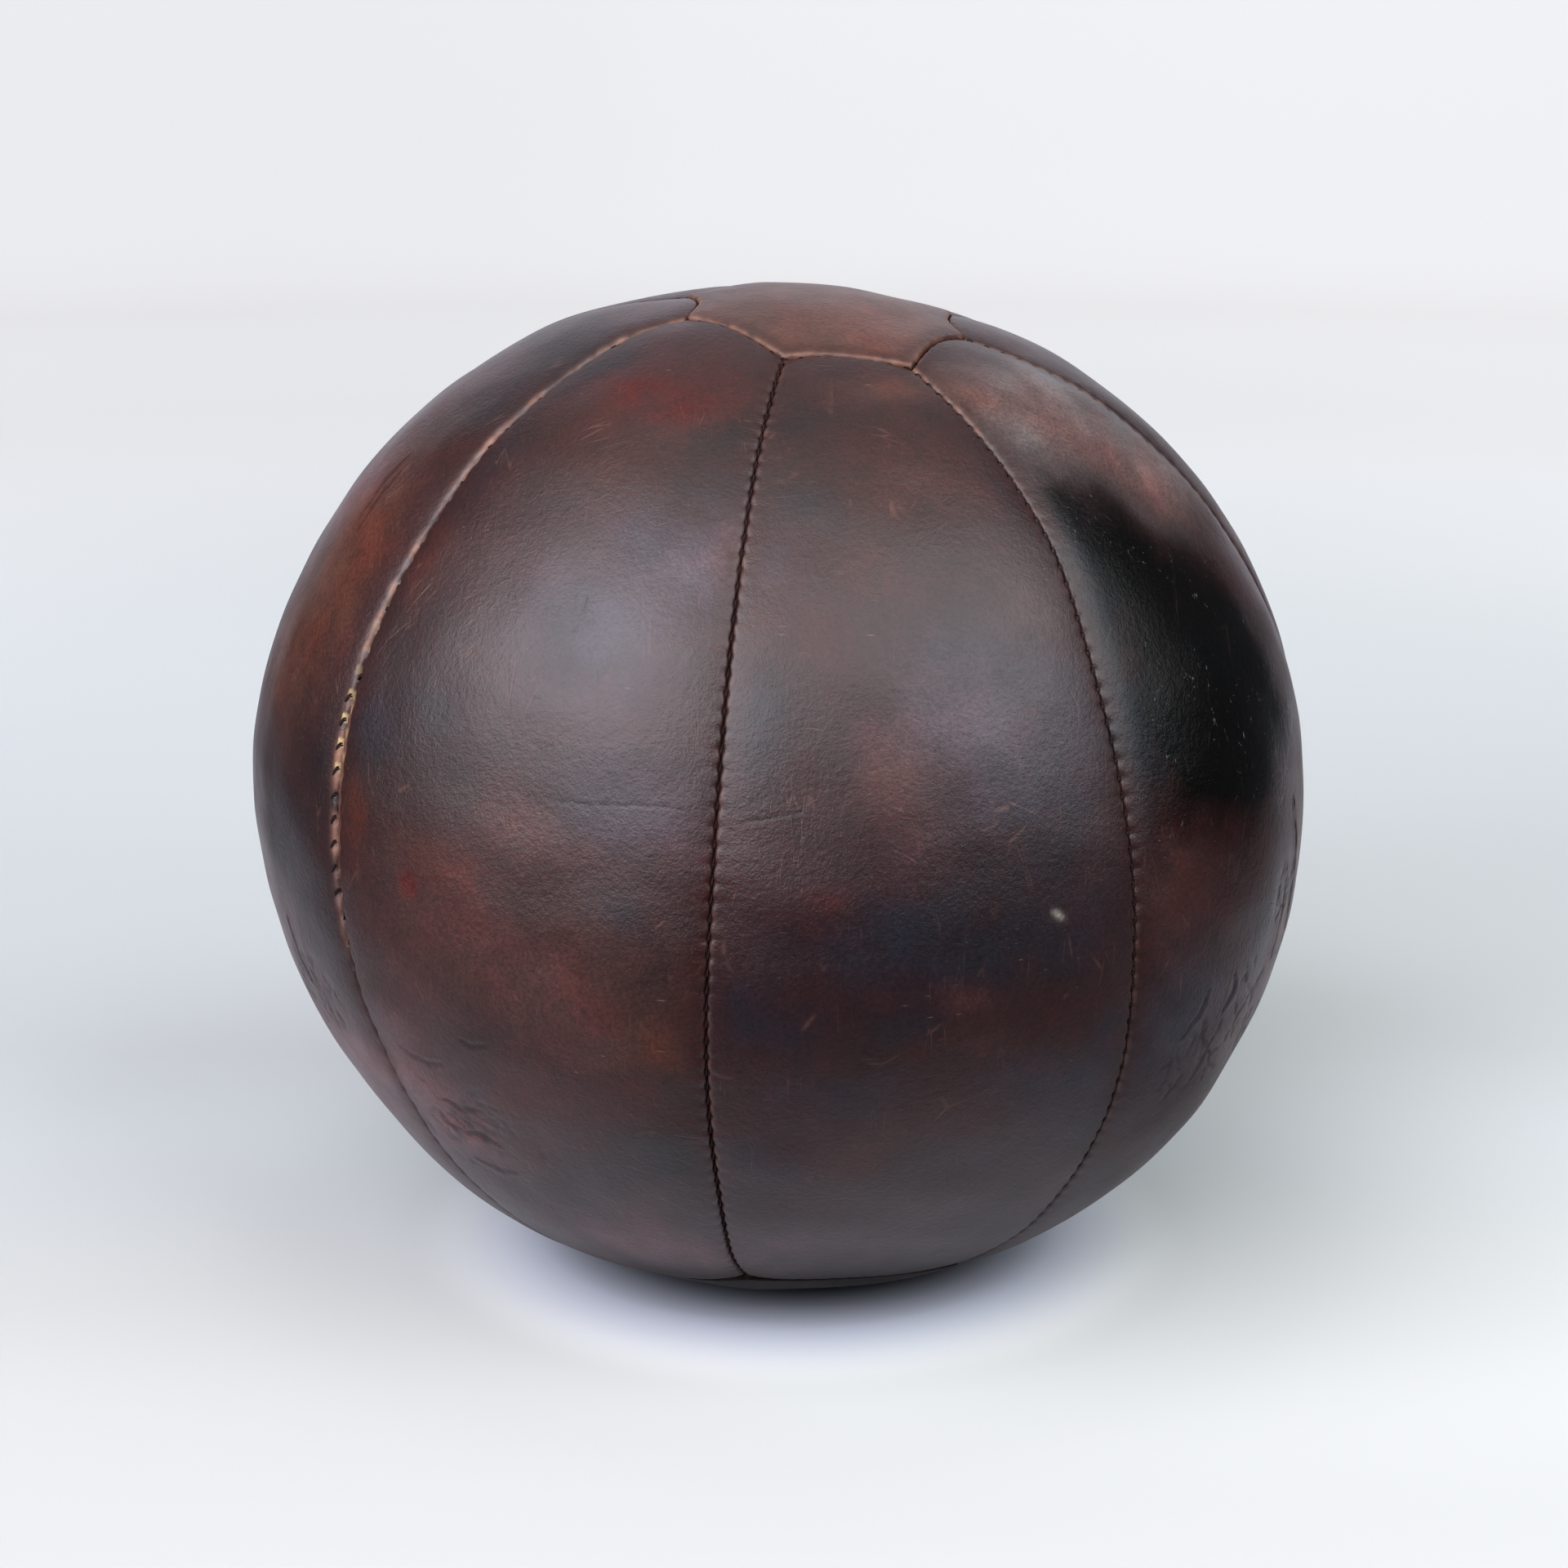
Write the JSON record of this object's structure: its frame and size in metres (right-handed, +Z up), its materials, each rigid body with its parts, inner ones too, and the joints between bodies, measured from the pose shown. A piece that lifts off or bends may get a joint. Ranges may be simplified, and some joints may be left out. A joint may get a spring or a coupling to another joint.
{
  "type": "medicine ball",
  "caption": "Round stuffed leather medicine ball with long gore panels, polygonal end caps, sunk stitched seams and a base pressed slightly flat by its weight.",
  "frame": {"origin": "on the floor under the middle of the ball, bottom centre of its box", "axes": "+Z up, roughly along the axis through the two end caps; -Y towards the side with the hand-sewn closing seam on its left"},
  "size_m": [0.3296, 0.3296, 0.3071],
  "materials": {
    "panel_leather": "dark brown waxed leather, mottled from burgundy to near black, worn and scuffed, satin",
    "cap_leather": "brown waxed leather, slightly greyed, satin",
    "welt_leather": "tan undyed leather strip, matt, darkened by handling",
    "seam_thread": "waxed twisted thread, dark maroon",
    "lining_canvas": "plain-woven cotton canvas, unbleached",
    "stuffing_fibre": "packed hair and textile fibre, matt"
  },
  "bodies": {
    "root": {"gore_panel_1": "panel_leather", "closing_seam_welt": "welt_leather", "closing_seam_thread": "seam_thread", "gore_panel_2": "panel_leather", "gore_seam_2_welt": "welt_leather", "gore_seam_2_thread": "seam_thread", "gore_panel_3": "panel_leather", "gore_seam_3_welt": "welt_leather", "gore_seam_3_thread": "seam_thread", "gore_panel_4": "panel_leather", "gore_seam_4_welt": "welt_leather", "gore_seam_4_thread": "seam_thread", "gore_panel_5": "panel_leather", "gore_seam_5_welt": "welt_leather", "gore_seam_5_thread": "seam_thread", "gore_panel_6": "panel_leather", "gore_seam_6_welt": "welt_leather", "gore_seam_6_thread": "seam_thread", "gore_panel_7": "panel_leather", "gore_seam_7_welt": "welt_leather", "gore_seam_7_thread": "seam_thread", "gore_panel_8": "panel_leather", "gore_seam_8_welt": "welt_leather", "gore_seam_8_thread": "seam_thread", "top_cap": "cap_leather", "top_cap_welt": "welt_leather", "top_cap_thread": "seam_thread", "bottom_cap": "cap_leather", "bottom_cap_welt": "welt_leather", "bottom_cap_thread": "seam_thread", "lining_bag": "lining_canvas", "lining_slit_thread": "seam_thread", "stuffing": "stuffing_fibre"}
  },
  "joints": []
}
